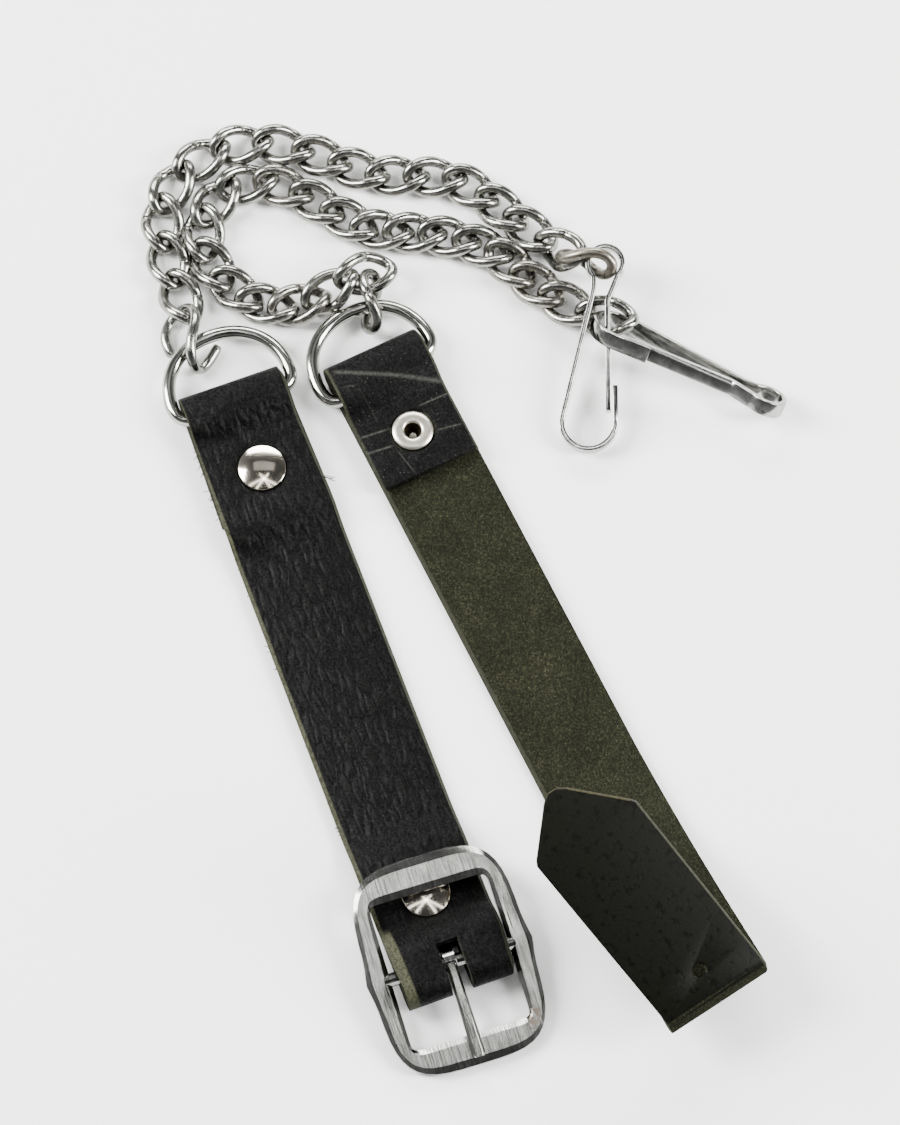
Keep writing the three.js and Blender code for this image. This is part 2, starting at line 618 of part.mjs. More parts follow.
const tongueEye = new THREE.Shape();
tongueEye.absarc(0, 0, EYE_OUTER, 0, 2 * Math.PI);
tongueEye.holes.push(new THREE.Path().absarc(0, 0, EYE_INNER, 0, 2 * Math.PI, true));
const eye = new THREE.ExtrudeGeometry(tongueEye, { depth: EYE_WIDTH, bevelEnabled: false, curveSegments: 8 });
eye.rotateX(Math.PI / 2);
eye.translate(0, EYE_WIDTH / 2, 0);
const shank = skinRings(TONGUE_ROWS.map(({ x, z, width }) => {
  const half = TONGUE_THICKNESS / 2;
  const corner = (side, lift) => new THREE.Vector3(x, side * width / 2, z + lift * half);
  return [
    corner(-1, -1),
    corner(1, -1),
    corner(1, TONGUE_SHOULDER),
    corner(TONGUE_TOP_SHARE, 1),
    corner(-TONGUE_TOP_SHARE, 1),
    corner(-1, TONGUE_SHOULDER),
  ];
}), false);

const buckleGroup = new THREE.Group();
buckleGroup.position.set(BUCKLE_BAR.x, BUCKLE_BAR.y, BUCKLE_BAR.z);
buckleGroup.rotation.set(0, radians(BUCKLE_TILT), radians(BUCKLE_TURN), 'ZYX');
part.add(buckleGroup);
addPiece('buckle_frame', join([frameBody, frameBar]), metal(0xc8c8c6, 0.15), buckleGroup);
addPiece('buckle_tongue', join([eye, shank]), metal(0xc8c8c6, 0.2), buckleGroup);

// Chains: curb links, each an oval of wire twisted so that its ends cross its neighbours' ends

function linkPoint(share) {
  const angle = share * 2 * Math.PI;
  const twist = radians(LINK_TWIST) * Math.cos(angle);
  const aside = Math.sin(angle) * LINK_WIDTH / 2;
  return new THREE.Vector3(
    Math.cos(angle) * LINK_LENGTH / 2,
    aside * Math.cos(twist),
    aside * Math.sin(twist),
  );
}

const linkShape = wireLoop(linkPoint, LINK_WIRE, LINK_SEGMENTS, WIRE_SIDES);

function addLink(name, middle, heading, roll) {
  const link = addPiece(name, linkShape, metal(0xbfbfba, 0.18));
  const ahead = heading.clone().normalize();
  const aside = new THREE.Vector3(0, 0, 1).cross(ahead).normalize();
  const lift = new THREE.Vector3().crossVectors(ahead, aside);
  link.quaternion.setFromRotationMatrix(new THREE.Matrix4().makeBasis(ahead, aside, lift));
  link.rotateX(radians(roll));
  link.position.copy(middle);
  return link;
}

// The hooking points along a route, with the roll there
function hookPoints(route) {
  const middles = new THREE.CatmullRomCurve3(route.map(({ x, y, z }) => new THREE.Vector3(x, y, z)));
  const points = [];
  route.forEach((row, index) => {
    const next = route[Math.min(index + 1, route.length - 1)];
    for (let link = 0; link < Math.max(row.links, index === route.length - 1 ? 1 : 0); link += 1) {
      const share = row.links ? link / row.links : 0;
      points.push({
        place: middles.getPoint((index + share) / (route.length - 1)),
        roll: THREE.MathUtils.lerp(row.roll, next.roll, share),
      });
    }
  });
  return points;
}

function layChain(prefix, first, route) {
  const hooks = hookPoints(route);
  for (let index = 0; index + 1 < hooks.length; index += 1) {
    const here = hooks[index];
    const next = hooks[index + 1];
    addLink(
      `${prefix}_${String(index + first).padStart(2, '0')}`,
      here.place.clone().add(next.place).multiplyScalar(0.5),
      next.place.clone().sub(here.place),
      (here.roll + next.roll) / 2,
    );
  }
  return hooks.length - 1 + first;
}

const openPath = new THREE.CatmullRomCurve3(OPEN_LINK_ROUTE.map(({ x, y, z }) => new THREE.Vector3(x, y, z)));
const wireSection = new THREE.Shape(Array.from({ length: WIRE_SIDES }, (_, side) => {
  const angle = (side / WIRE_SIDES) * 2 * Math.PI;
  return new THREE.Vector2(Math.cos(angle) * LINK_WIRE / 2, Math.sin(angle) * LINK_WIRE / 2);
}));
const openLink = new THREE.ExtrudeGeometry(wireSection, { steps: OPEN_LINK_STEPS, extrudePath: openPath });
addPiece('chain_a_link_01', openLink, metal(0xbfbfba, 0.18));
layChain('chain_a_link', 2, CHAIN_A_ROUTE);

layChain('chain_b_link', 3, CHAIN_B_ROUTE);
LOOSE_LINKS.forEach(({ name, x, y, z, turn, pitch, roll }) => {
  const heading = new THREE.Vector3(
    Math.cos(radians(turn)) * Math.cos(radians(pitch)),
    Math.sin(radians(turn)) * Math.cos(radians(pitch)),
    Math.sin(radians(pitch)),
  );
  addLink(name, new THREE.Vector3(x, y, z), heading, roll);
});

// Clips: one strip on edge, from the hook's end round the hook, up the back, round the loop and
// down the gate, which stops inside the hook's end

const clipPath = new THREE.Path();
const hookRight = CLIP_HOOK_X + CLIP_HOOK_RADIUS;
const backLeave = -Math.PI - radians(CLIP_BACK_LEAN);
const loopEnter = -Math.PI / 2 - radians(CLIP_LOOP_MOUTH);
const loopExit = -Math.PI / 2 + radians(CLIP_LOOP_MOUTH) - 2 * Math.PI;
const loopFootX = CLIP_LOOP_RADIUS * Math.cos(loopEnter);
const loopFootY = CLIP_LOOP_RADIUS * Math.sin(loopEnter);
clipPath.moveTo(hookRight, CLIP_HOOK_END_Y);
clipPath.lineTo(hookRight, CLIP_HOOK_Y);
clipPath.absarc(CLIP_HOOK_X, CLIP_HOOK_Y, CLIP_HOOK_RADIUS, 0, backLeave, true);
clipPath.lineTo(CLIP_BACK_TOP.x, CLIP_BACK_TOP.y);
clipPath.quadraticCurveTo(CLIP_NECK.leftX, CLIP_NECK.leftY, loopFootX, loopFootY);
clipPath.absarc(0, 0, CLIP_LOOP_RADIUS, loopEnter, loopExit, true);
clipPath.quadraticCurveTo(CLIP_NECK.rightX, CLIP_NECK.rightY, CLIP_GATE_X, CLIP_GATE_TOP_Y);
clipPath.lineTo(CLIP_GATE_X, CLIP_GATE_END_Y);

function stripAlong(path, divisions) {
  const points = path.getPoints(divisions).filter((point, index, all) => (
    index === 0 || point.distanceTo(all[index - 1]) > CLIP_SHORTEST
  ));
  const rings = points.map((point, index) => {
    const before = points[Math.max(index - 1, 0)];
    const after = points[Math.min(index + 1, points.length - 1)];
    const along = after.clone().sub(before).normalize();
    const out = new THREE.Vector2(along.y, -along.x).multiplyScalar(CLIP_THICKNESS / 2);
    const corner = (side, lift) => new THREE.Vector3(
      point.x + side * out.x,
      point.y + side * out.y,
      lift * CLIP_STRIP / 2,
    );
    return [corner(-1, -1), corner(-1, 1), corner(1, 1), corner(1, -1)];
  });
  return skinRings(rings, false);
}

const clipShape = stripAlong(clipPath, CLIP_DIVISIONS);
CLIP_POSES.forEach(({ name, x, y, z, turn, pitch, roll }) => {
  const clip = addPiece(name, clipShape, metal(0xcacac8, 0.2));
  clip.position.set(x, y, z);
  clip.rotation.set(radians(pitch), radians(roll), radians(turn), 'ZXY');
});

// The whole part is centred over the origin and stands on z = 0
const box = new THREE.Box3().setFromObject(part, true);
const middle = box.getCenter(new THREE.Vector3()).setZ(box.min.z);
part.children.forEach((piece) => piece.position.sub(middle));

export default part;
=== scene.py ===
import math
import random

import bpy
import numpy as np
from mathutils import Matrix, Vector


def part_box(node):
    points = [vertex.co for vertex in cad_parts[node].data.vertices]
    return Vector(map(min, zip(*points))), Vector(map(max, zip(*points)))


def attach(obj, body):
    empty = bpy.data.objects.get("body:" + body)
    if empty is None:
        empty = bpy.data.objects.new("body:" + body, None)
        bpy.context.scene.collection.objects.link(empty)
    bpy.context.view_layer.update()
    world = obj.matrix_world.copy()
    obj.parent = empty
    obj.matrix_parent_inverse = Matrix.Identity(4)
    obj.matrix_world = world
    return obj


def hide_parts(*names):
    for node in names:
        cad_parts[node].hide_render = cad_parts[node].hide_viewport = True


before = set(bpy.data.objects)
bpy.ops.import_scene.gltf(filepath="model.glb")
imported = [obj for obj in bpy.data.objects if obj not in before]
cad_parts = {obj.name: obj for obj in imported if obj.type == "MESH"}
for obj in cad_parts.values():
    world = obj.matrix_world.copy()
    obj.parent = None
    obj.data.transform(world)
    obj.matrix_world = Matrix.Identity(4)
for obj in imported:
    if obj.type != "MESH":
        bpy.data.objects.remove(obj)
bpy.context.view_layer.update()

# Straps: two strips of oiled black leather, folded round a D-ring at one end and riveted.
# The grain side is black and pebbled, the flesh side olive suede, the cut edges grey-green.
MM = 0.001
BUCKLE_FOLD = (-52.8, 48.06)
BUCKLE_TURN = -69.6
TIP_FOLD = (-21.0, 56.26)
TIP_TURN = -63.7
LEATHER_BEVEL = 0.45
FLAP_END = 33.5
FLAP_HEIGHT = 3.3
TIP_REGION = 112.0
RISE_START = 102.0
RISE_CURVE = 169.0
TIP_CLEARANCE = 3.2
TIP_RIM_END = 128.0
FLAP_SCRATCHES = [
    {"start": (2.6, -10.4), "end": (14.9, 11.7), "half": 0.7, "core": 0.0, "pale": 0.6},
    {"start": (17.5, 4.0), "end": (17.7, 11.9), "half": 0.35, "core": 0.0, "pale": 0.6},
    {"start": (18.7, -11.6), "end": (19.6, -4.5), "half": 0.4, "core": 0.0, "pale": 0.55},
    {"start": (22.8, -12.0), "end": (23.6, -5.7), "half": 0.4, "core": 0.0, "pale": 0.6},
    {"start": (24.6, 5.0), "end": (25.7, 10.6), "half": 0.35, "core": 0.0, "pale": 0.55},
    {"start": (25.3, -5.2), "end": (31.6, -4.0), "half": 0.25, "core": 0.0, "pale": 0.45},
    {"start": (8.4, -6.8), "end": (17.4, -6.1), "half": 0.2, "core": 0.0, "pale": 0.2},
    {"start": (6.9, -10.0), "end": (7.9, -7.0), "half": 0.3, "core": 0.0, "pale": 0.3},
]
FLAP_EDGE = [{"start": (0.0, -12.4), "end": (34.0, -12.9), "half": 1.5, "core": 0.6, "pale": 1.0}]
BUCKLE_STRAP_EDGE = [
    {"start": (0.0, -12.7), "end": (152.0, -12.5), "half": 0.8, "core": 0.6, "pale": 1.0},
    {"start": (134.0, -12.0), "end": (156.0, -11.4), "half": 1.7, "core": 0.7, "pale": 1.0},
]


def linear(hex_colour):
    """sRGB hex to the linear colour that shaders take."""
    parts = [int(hex_colour[i:i + 2], 16) / 255 for i in (1, 3, 5)]
    return tuple(p / 12.92 if p <= 0.04045 else ((p + 0.055) / 1.055) ** 2.4 for p in parts) + (1.0,)


def new_material(name):
    material = bpy.data.materials.new(name)
    material.use_nodes = True
    tree = material.node_tree
    shader = tree.nodes["Principled BSDF"]
    return material, tree, shader


def add_node(tree, kind, settings=None, **links):
    """Adds a node; settings are its properties, links its sockets by name (a value or a socket)."""
    node = tree.nodes.new(kind)
    for key, value in (settings or {}).items():
        setattr(node, key, value)
    for key, value in links.items():
        by_number = key[0] == "i" and key[1:].isdigit()
        socket = node.inputs[int(key[1:]) if by_number else key.replace("_", " ")]
        if isinstance(value, bpy.types.NodeSocket):
            tree.links.new(value, socket)
        else:
            socket.default_value = value
    return node


def turned_flat(tree, vector, angle):
    node = add_node(tree, "ShaderNodeVectorRotate", {"rotation_type": "Z_AXIS"}, Vector=vector, Angle=angle)
    return node.outputs[0]


def vector_maths(tree, operation, first, second):
    return add_node(tree, "ShaderNodeVectorMath", {"operation": operation}, i0=first, i1=second).outputs[0]


def strap_place(tree, fold, turn):
    """Millimetres along, across and above a strap, measured from its fold."""
    place = add_node(tree, "ShaderNodeTexCoord").outputs["Object"]
    moved = vector_maths(tree, "SUBTRACT", place, (fold[0] * MM, fold[1] * MM, 0))
    turned = turned_flat(tree, moved, math.radians(-turn))
    return stretched(tree, turned, 1 / MM, 1 / MM, 1 / MM)


def stretched(tree, place, along, across, above):
    return vector_maths(tree, "MULTIPLY", place, (along, across, above))


def noise(tree, place, scale, detail, roughness=0.5):
    node = add_node(tree, "ShaderNodeTexNoise", None, Vector=place, Scale=scale, Detail=detail,
                    Roughness=roughness)
    return node.outputs["Fac"]


def map_range(tree, value, low, high, to_low, to_high, kind="LINEAR"):
    node = add_node(tree, "ShaderNodeMapRange", {"interpolation_type": kind}, Value=value, From_Min=low,
                    From_Max=high, To_Min=to_low, To_Max=to_high)
    return node.outputs[0]


def maths(tree, operation, first, second, third=0.0):
    node = add_node(tree, "ShaderNodeMath", {"operation": operation}, i0=first, i1=second, i2=third)
    return node.outputs[0]


def ramp(tree, value, stops):
    """A colour ramp from (position, hex colour) rows."""
    node = add_node(tree, "ShaderNodeValToRGB", None, Fac=value)
    elements = node.color_ramp.elements
    while len(elements) < len(stops):
        elements.new(0.5)
    for element, (position, colour) in zip(elements, stops):
        element.position = position
        element.color = linear(colour)
    return node.outputs["Color"]


def bump(tree, shader, height, distance, strength):
    node = add_node(tree, "ShaderNodeBump", None, Height=height, Distance=distance * MM, Strength=strength)
    tree.links.new(node.outputs["Normal"], shader.inputs["Normal"])


def scratch_mask(tree, place, rows):
    """A mask of rubbed lines, each from one point of the strap to another, in millimetres."""
    total = 0.0
    for row in rows:
        start, end = Vector(row["start"]), Vector(row["end"])
        length = (end - start).length
        angle = math.atan2(end.y - start.y, end.x - start.x)
        moved = vector_maths(tree, "SUBTRACT", place, (start.x, start.y, 0))
        split = add_node(tree, "ShaderNodeSeparateXYZ", None, Vector=turned_flat(tree, moved, -angle))
        aside = maths(tree, "ABSOLUTE", split.outputs["Y"], 0.0)
        core = map_range(tree, aside, row["half"] * row["core"], row["half"], row["pale"], 0.0)
        begun = map_range(tree, split.outputs["X"], -0.5, 1.0, 0.0, 1.0)
        ended = map_range(tree, split.outputs["X"], length - 1.0, length + 0.5, 1.0, 0.0)
        line = maths(tree, "MULTIPLY", core, maths(tree, "MULTIPLY", begun, ended))
        total = maths(tree, "MAXIMUM", total, line)
    return total


def blended(tree, share, first, second):
    """One colour over another; each is a socket or a hex colour."""
    mix = add_node(tree, "ShaderNodeMix", {"data_type": "RGBA"}, i0=share)
    for socket, colour in ((mix.inputs[6], first), (mix.inputs[7], second)):
        if isinstance(colour, str):
            socket.default_value = linear(colour)
        else:
            tree.links.new(colour, socket)
    return mix.outputs[2]


def grain_leather(name, fold, turn, dark, light, wrinkle, from_wrinkle, to_smooth, dust):
    # Milled grain: long ropes of pebbles pulled along the strap, with painted shade darkening the valleys
    # between them. Waxed, nearly black, so that only the crowns glint. Lint and dust lie on it as pale
    # specks.
    material, tree, shader = new_material(name)
    place = strap_place(tree, fold, turn)
    warp = add_node(tree, "ShaderNodeTexNoise", None, Vector=place, Scale=0.22, Detail=2.0)
    bent = add_node(tree, "ShaderNodeVectorMath", {"operation": "MULTIPLY_ADD"}, i0=warp.outputs["Color"],
                    i1=(3.0, 1.6, 0.0), i2=place).outputs[0]
    cell = add_node(tree, "ShaderNodeTexVoronoi", {"feature": "DISTANCE_TO_EDGE"},
                    Vector=stretched(tree, bent, 0.16, 0.5, 0.3), Scale=1.0)
    fine = noise(tree, place, 1.9, 7.0, 0.7)
    soft = noise(tree, stretched(tree, place, 0.2, 0.55, 0.4), 1.0, 3.0)
    speck = add_node(tree, "ShaderNodeTexVoronoi", None, Vector=place, Scale=1.0)
    along = add_node(tree, "ShaderNodeSeparateXYZ", None, Vector=place).outputs["X"]
    begun = map_range(tree, along, from_wrinkle - 6.0, from_wrinkle + 6.0, 0.15, 1.0)
    faded = map_range(tree, along, to_smooth - 35.0, to_smooth, 1.0, 0.25)
    deep = maths(tree, "MULTIPLY", maths(tree, "MULTIPLY", begun, faded), wrinkle)
    crown = map_range(tree, cell.outputs["Distance"], 0.0, 0.34, 0.0, 1.0, "SMOOTHSTEP")
    # Random grain tone from the fine noise, with painted shade: darker towards the valleys where the crown
    # mask falls.
    tone_and_valley_shade = maths(tree, "MULTIPLY", fine, maths(tree, "MULTIPLY_ADD", crown, 0.35, 0.65))
    colour = ramp(tree, tone_and_valley_shade, [(0.3, dark), (0.62, light)])
    dot = map_range(tree, speck.outputs["Distance"], 0.05, 0.12, dust, 0.0)
    tree.links.new(blended(tree, dot, colour, "#77766f"), shader.inputs["Base Color"])
    tree.links.new(map_range(tree, fine, 0.3, 0.7, 0.5, 0.34), shader.inputs["Roughness"])
    tree.links.new(map_range(tree, fine, 0.36, 0.66, 0.01, 0.095), shader.inputs["Specular IOR Level"])
    roped = maths(tree, "MULTIPLY", maths(tree, "MULTIPLY_ADD", soft, 0.7, crown), deep)
    bump(tree, shader, maths(tree, "MULTIPLY_ADD", fine, 0.6, roped), 0.3, 0.8)
    return material


def painted_over(material, fold, turn, rows, colour):
    """Lays a broken colour over a strap's material along rows of lines."""
    tree = material.node_tree
    shader = tree.nodes["Principled BSDF"]
    place = strap_place(tree, fold, turn)
    broken = map_range(tree, noise(tree, place, 1.6, 6.0, 0.8), 0.36, 0.56, 0.2, 1.0)
    share = maths(tree, "MULTIPLY", scratch_mask(tree, place, rows), broken)
    before = shader.inputs["Base Color"].links[0].from_socket
    tree.links.new(blended(tree, share, before, colour), shader.inputs["Base Color"])


def suede_leather(name, fold, turn):
    # The flesh side: short dark olive nap that scatters light, with paler fibre specks and no shine.
    material, tree, shader = new_material(name)
    place = strap_place(tree, fold, turn)
    nap = add_node(tree, "ShaderNodeTexNoise", None, Vector=place, Scale=2.1, Detail=8.0, Roughness=0.78)
    patch = add_node(tree, "ShaderNodeTexNoise", None, Vector=place, Scale=0.1, Detail=2.0)
    blend = maths(tree, "MULTIPLY_ADD", patch.outputs["Fac"], 0.12, nap.outputs["Fac"])
    colour = ramp(tree, blend, [(0.4, "#0d0e09"), (0.54, "#181912"), (0.66, "#27281d"), (0.8, "#555443")])
    tree.links.new(colour, shader.inputs["Base Color"])
    shader.inputs["Roughness"].default_value = 0.95
    shader.inputs["Specular IOR Level"].default_value = 0.02
    bump(tree, shader, nap.outputs["Fac"], 0.2, 0.9)
    return material


def edge_leather(name, fold, turn):
    # Cut edges: raw fibre in grey-green, streaked along the strap where the knife ran.
    material, tree, shader = new_material(name)
    place = strap_place(tree, fold, turn)
    fibre = noise(tree, stretched(tree, place, 0.6, 2.0, 2.4), 1.6, 6.0, 0.7)
    colour = ramp(tree, fibre, [(0.3, "#15160f"), (0.55, "#2b2c22"), (0.8, "#45463a")])
    tree.links.new(colour, shader.inputs["Base Color"])
    shader.inputs["Roughness"].default_value = 0.92
    shader.inputs["Specular IOR Level"].default_value = 0.1
    bump(tree, shader, fibre, 0.2, 0.9)
    return material


def copied(node, name):
    """A merged copy of a CAD node, made the active object in edit mode's reach."""
    bpy.ops.object.select_all(action="DESELECT")
    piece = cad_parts[node].copy()
    piece.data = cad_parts[node].data.copy()
    piece.name = name
    piece.data.name = name
    bpy.context.collection.objects.link(piece)
    piece.data.materials.clear()
    bpy.context.view_layer.objects.active = piece
    piece.select_set(True)
    bpy.ops.object.mode_set(mode="EDIT")
    bpy.ops.mesh.select_all(action="SELECT")
    bpy.ops.mesh.remove_doubles(threshold=0.00002)
    bpy.ops.mesh.normals_make_consistent(inside=False)
    bpy.ops.object.mode_set(mode="OBJECT")
    return piece


def bevelled(piece, width, angle, segments=2):
    modifier = piece.modifiers.new("edges", "BEVEL")
    modifier.width = width * MM
    modifier.segments = segments
    modifier.limit_method = "ANGLE"
    modifier.angle_limit = math.radians(angle)
    modifier.harden_normals = False
    bpy.context.view_layer.objects.active = piece
    bpy.ops.object.modifier_apply(modifier=modifier.name)


def smooth(piece, angle):
    bpy.ops.object.select_all(action="DESELECT")
    piece.select_set(True)
    bpy.context.view_layer.objects.active = piece
    bpy.ops.object.shade_smooth_by_angle(angle=math.radians(angle))


def strap_local(point, fold, turn):
    offset = Vector((point.x / MM - fold[0], point.y / MM - fold[1], point.z / MM))
    return Matrix.Rotation(math.radians(-turn), 3, "Z") @ offset


buckle_strap = copied("strap_buckle_side", "buckle_strap_leather")
bevelled(buckle_strap, LEATHER_BEVEL, 50)
strap_grain = grain_leather(
    "black_milled_grain_leather", BUCKLE_FOLD, BUCKLE_TURN, dark="#040404", light="#0b0b0a",
    wrinkle=1.0, from_wrinkle=3.0, to_smooth=140.0, dust=0.1)
painted_over(strap_grain, BUCKLE_FOLD, BUCKLE_TURN, BUCKLE_STRAP_EDGE, "#3d3e30")
buckle_strap.data.materials.append(strap_grain)
buckle_strap.data.materials.append(edge_leather("buckle_strap_cut_edge", BUCKLE_FOLD, BUCKLE_TURN))
for face in buckle_strap.data.polygons:
    local = Matrix.Rotation(math.radians(-BUCKLE_TURN), 3, "Z") @ face.normal
    face.material_index = 1 if abs(local.y) > 0.75 else 0
smooth(buckle_strap, 40)
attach(buckle_strap, "strap_and_chains")
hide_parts("strap_buckle_side")



def tip_leather(name):
    # The turned-over tip: smooth greenish black finish with small dark pits, dull but for a soft
    # sheen where the crease stretches it.
    material, tree, shader = new_material(name)
    place = strap_place(tree, TIP_FOLD, TIP_TURN)
    fine = add_node(tree, "ShaderNodeTexNoise", None, Vector=place, Scale=2.2, Detail=6.0, Roughness=0.7)
    pit = noise(tree, stretched(tree, place, 0.6, 0.55, 0.6), 1.0, 2.0)
    sunk = map_range(tree, pit, 0.55, 0.7, 0.0, 0.8)
    colour = ramp(tree, fine.outputs["Fac"], [(0.3, "#080806"), (0.7, "#0f100c")])
    tree.links.new(blended(tree, sunk, colour, "#040403"), shader.inputs["Base Color"])
    along = add_node(tree, "ShaderNodeSeparateXYZ", None, Vector=place).outputs["X"]
    tree.links.new(map_range(tree, along, 160.0, 174.0, 0.5, 0.3), shader.inputs["Roughness"])
    shader.inputs["Specular IOR Level"].default_value = 0.03
    pitted = maths(tree, "MULTIPLY", sunk, -0.5)
    bump(tree, shader, maths(tree, "MULTIPLY_ADD", fine.outputs["Fac"], 0.3, pitted), 0.15, 0.6)
    return material


tip_strap = copied("strap_tip_side", "tip_strap_leather")
bevelled(tip_strap, LEATHER_BEVEL, 50)
tip_strap.data.materials.append(suede_leather("tip_strap_flesh_side", TIP_FOLD, TIP_TURN))
tip_strap.data.materials.append(edge_leather("tip_strap_cut_edge", TIP_FOLD, TIP_TURN))
flap_leather = grain_leather(
    "black_smooth_flap_leather", TIP_FOLD, TIP_TURN, dark="#050505", light="#0e0e0d",
    wrinkle=0.05, from_wrinkle=0.0, to_smooth=200.0, dust=0.35)
painted_over(flap_leather, TIP_FOLD, TIP_TURN, FLAP_SCRATCHES, "#44443f")
painted_over(flap_leather, TIP_FOLD, TIP_TURN, FLAP_EDGE, "#333428")
tip_strap.data.materials.append(flap_leather)
tip_strap.data.materials.append(tip_leather("greenish_black_tip_leather"))
rim, tree, shader = new_material("brown_tip_cut_edge")
fibre = noise(tree, strap_place(tree, TIP_FOLD, TIP_TURN), 2.0, 5.0)
tree.links.new(ramp(tree, fibre, [(0.3, "#1d1b11"), (0.7, "#3a3724")]), shader.inputs["Base Color"])
shader.inputs["Roughness"].default_value = 0.9
shader.inputs["Specular IOR Level"].default_value = 0.1
tip_strap.data.materials.append(rim)
for face in tip_strap.data.polygons:
    normal = Matrix.Rotation(math.radians(-TIP_TURN), 3, "Z") @ face.normal
    at = strap_local(face.center, TIP_FOLD, TIP_TURN)
    run = max(0.0, at.x - RISE_START)
    rise = RISE_CURVE * (1 - math.cos(min(run / RISE_CURVE, 0.5)))
    on_tip = at.x > TIP_REGION and at.z > rise + TIP_CLEARANCE
    if on_tip and normal.z < 0.8 and at.x < TIP_RIM_END:
        face.material_index = 4
    elif abs(normal.y) > 0.75:
        face.material_index = 1
    elif on_tip and normal.z > -0.2:
        face.material_index = 3
    elif at.x < FLAP_END and at.z > FLAP_HEIGHT and normal.z > 0.0:
        face.material_index = 2
    elif at.x < 0.6:
        face.material_index = 2
    elif normal.x < -0.6 and at.x > FLAP_END - 2:
        face.material_index = 1
    else:
        face.material_index = 0
smooth(tip_strap, 40)
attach(tip_strap, "strap_and_chains")
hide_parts("strap_tip_side")

# Edge fibres: loose tufts of raw leather along the left cut edge of the buckle strap, and one on the right.
# They are strands of the flesh side, a tenth of a millimetre thick, growing out of the edge.
FIBRE_RADIUS = 0.08
FIBRE_TUFTS = [
    {"along": 9.0, "side": -1, "count": 5, "spread": 5.0, "reach": 0.9},
    {"along": 16.4, "side": -1, "count": 8, "spread": 2.5, "reach": 1.5},
    {"along": 24.4, "side": -1, "count": 6, "spread": 1.5, "reach": 2.2},
    {"along": 28.4, "side": -1, "count": 6, "spread": 1.5, "reach": 1.8},
    {"along": 44.0, "side": -1, "count": 6, "spread": 6.0, "reach": 0.9},
    {"along": 65.3, "side": -1, "count": 6, "spread": 3.0, "reach": 1.4},
    {"along": 95.0, "side": -1, "count": 12, "spread": 22.0, "reach": 0.9},
    {"along": 28.8, "side": 1, "count": 3, "spread": 0.4, "reach": 2.6},
]
FIBRE_EDGE = 12.3
DOUBLED_TO = 33.0
HEIGHT_DOUBLED = 4.2
HEIGHT_SINGLE = 1.7
fibre_leather, tree, shader = new_material("raw_leather_fibre")
mottle = noise(tree, strap_place(tree, BUCKLE_FOLD, BUCKLE_TURN), 0.8, 3.0)
tree.links.new(ramp(tree, mottle, [(0.35, "#15160f"), (0.65, "#33342a")]), shader.inputs["Base Color"])
shader.inputs["Roughness"].default_value = 0.9
shader.inputs["Specular IOR Level"].default_value = 0.1
chance = random.Random(4)
strands = []
for tuft in FIBRE_TUFTS:
    for strand in range(tuft["count"]):
        along = tuft["along"] + chance.uniform(-1, 1) * tuft["spread"]
        height = (HEIGHT_DOUBLED if along < DOUBLED_TO else HEIGHT_SINGLE) + chance.uniform(-0.8, 0.2)
        reach = tuft["reach"] * chance.uniform(0.3, 0.9)
        lean = chance.uniform(-1.0, 1.0) * reach
        root = Vector((along, tuft["side"] * FIBRE_EDGE, height))
        tip = root + Vector((lean, tuft["side"] * (reach + 0.2), chance.uniform(-0.3, 0.3)))
        bpy.ops.object.select_all(action="DESELECT")
        bpy.ops.curve.primitive_bezier_curve_add()
        curve = bpy.context.object
        curve.data.bevel_depth = FIBRE_RADIUS * MM
        curve.data.bevel_resolution = 0
        curve.data.resolution_u = 5
        turn = Matrix.Rotation(math.radians(BUCKLE_TURN), 3, "Z")
        sway = Vector((chance.uniform(-0.4, 0.4) * reach, tuft["side"] * 0.4 * reach, 0))
        for point, at in zip(curve.data.splines[0].bezier_points, (root, tip)):
            place = turn @ at + Vector((*BUCKLE_FOLD, 0))
            point.handle_left_type = point.handle_right_type = "FREE"
            point.co = place * MM
            point.handle_left = (place - turn @ sway) * MM
            point.handle_right = (place + turn @ sway) * MM
        bpy.ops.object.convert(target="MESH")
        strands.append(bpy.context.object)
bpy.ops.object.select_all(action="DESELECT")
for strand in strands:
    strand.select_set(True)
bpy.context.view_layer.objects.active = strands[0]
bpy.ops.object.join()
fibres = bpy.context.object
fibres.name = "buckle_strap_edge_fibres"
fibres.data.materials.clear()
fibres.data.materials.append(fibre_leather)
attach(fibres, "strap_and_chains")

# Chains: curb links of chromed steel wire, each an oval twisted a quarter turn so that it lies flat
# among its neighbours, closed with a butt joint. The last link of chain A is prised open.
LINK_LENGTH = 13.0
LINK_WIDTH = 7.6
LINK_TWIST = -45.0
WIRE_RADIUS = 1.25
ROUND_STEPS = 56
WIRE_STEPS = 14
JOINT_STEP = 15
JOINT_WIDTH = 0.03
JOINT_DEPTH = 0.16
TARNISH = {"chain_a_link_17": 0.5, "chain_b_link_18": 0.22, "chain_b_link_19": 0.28, "chain_b_link_20": 0.15,
           "chain_b_link_11": 0.2, "chain_a_link_09": 0.15, "chain_b_link_04": 0.2}


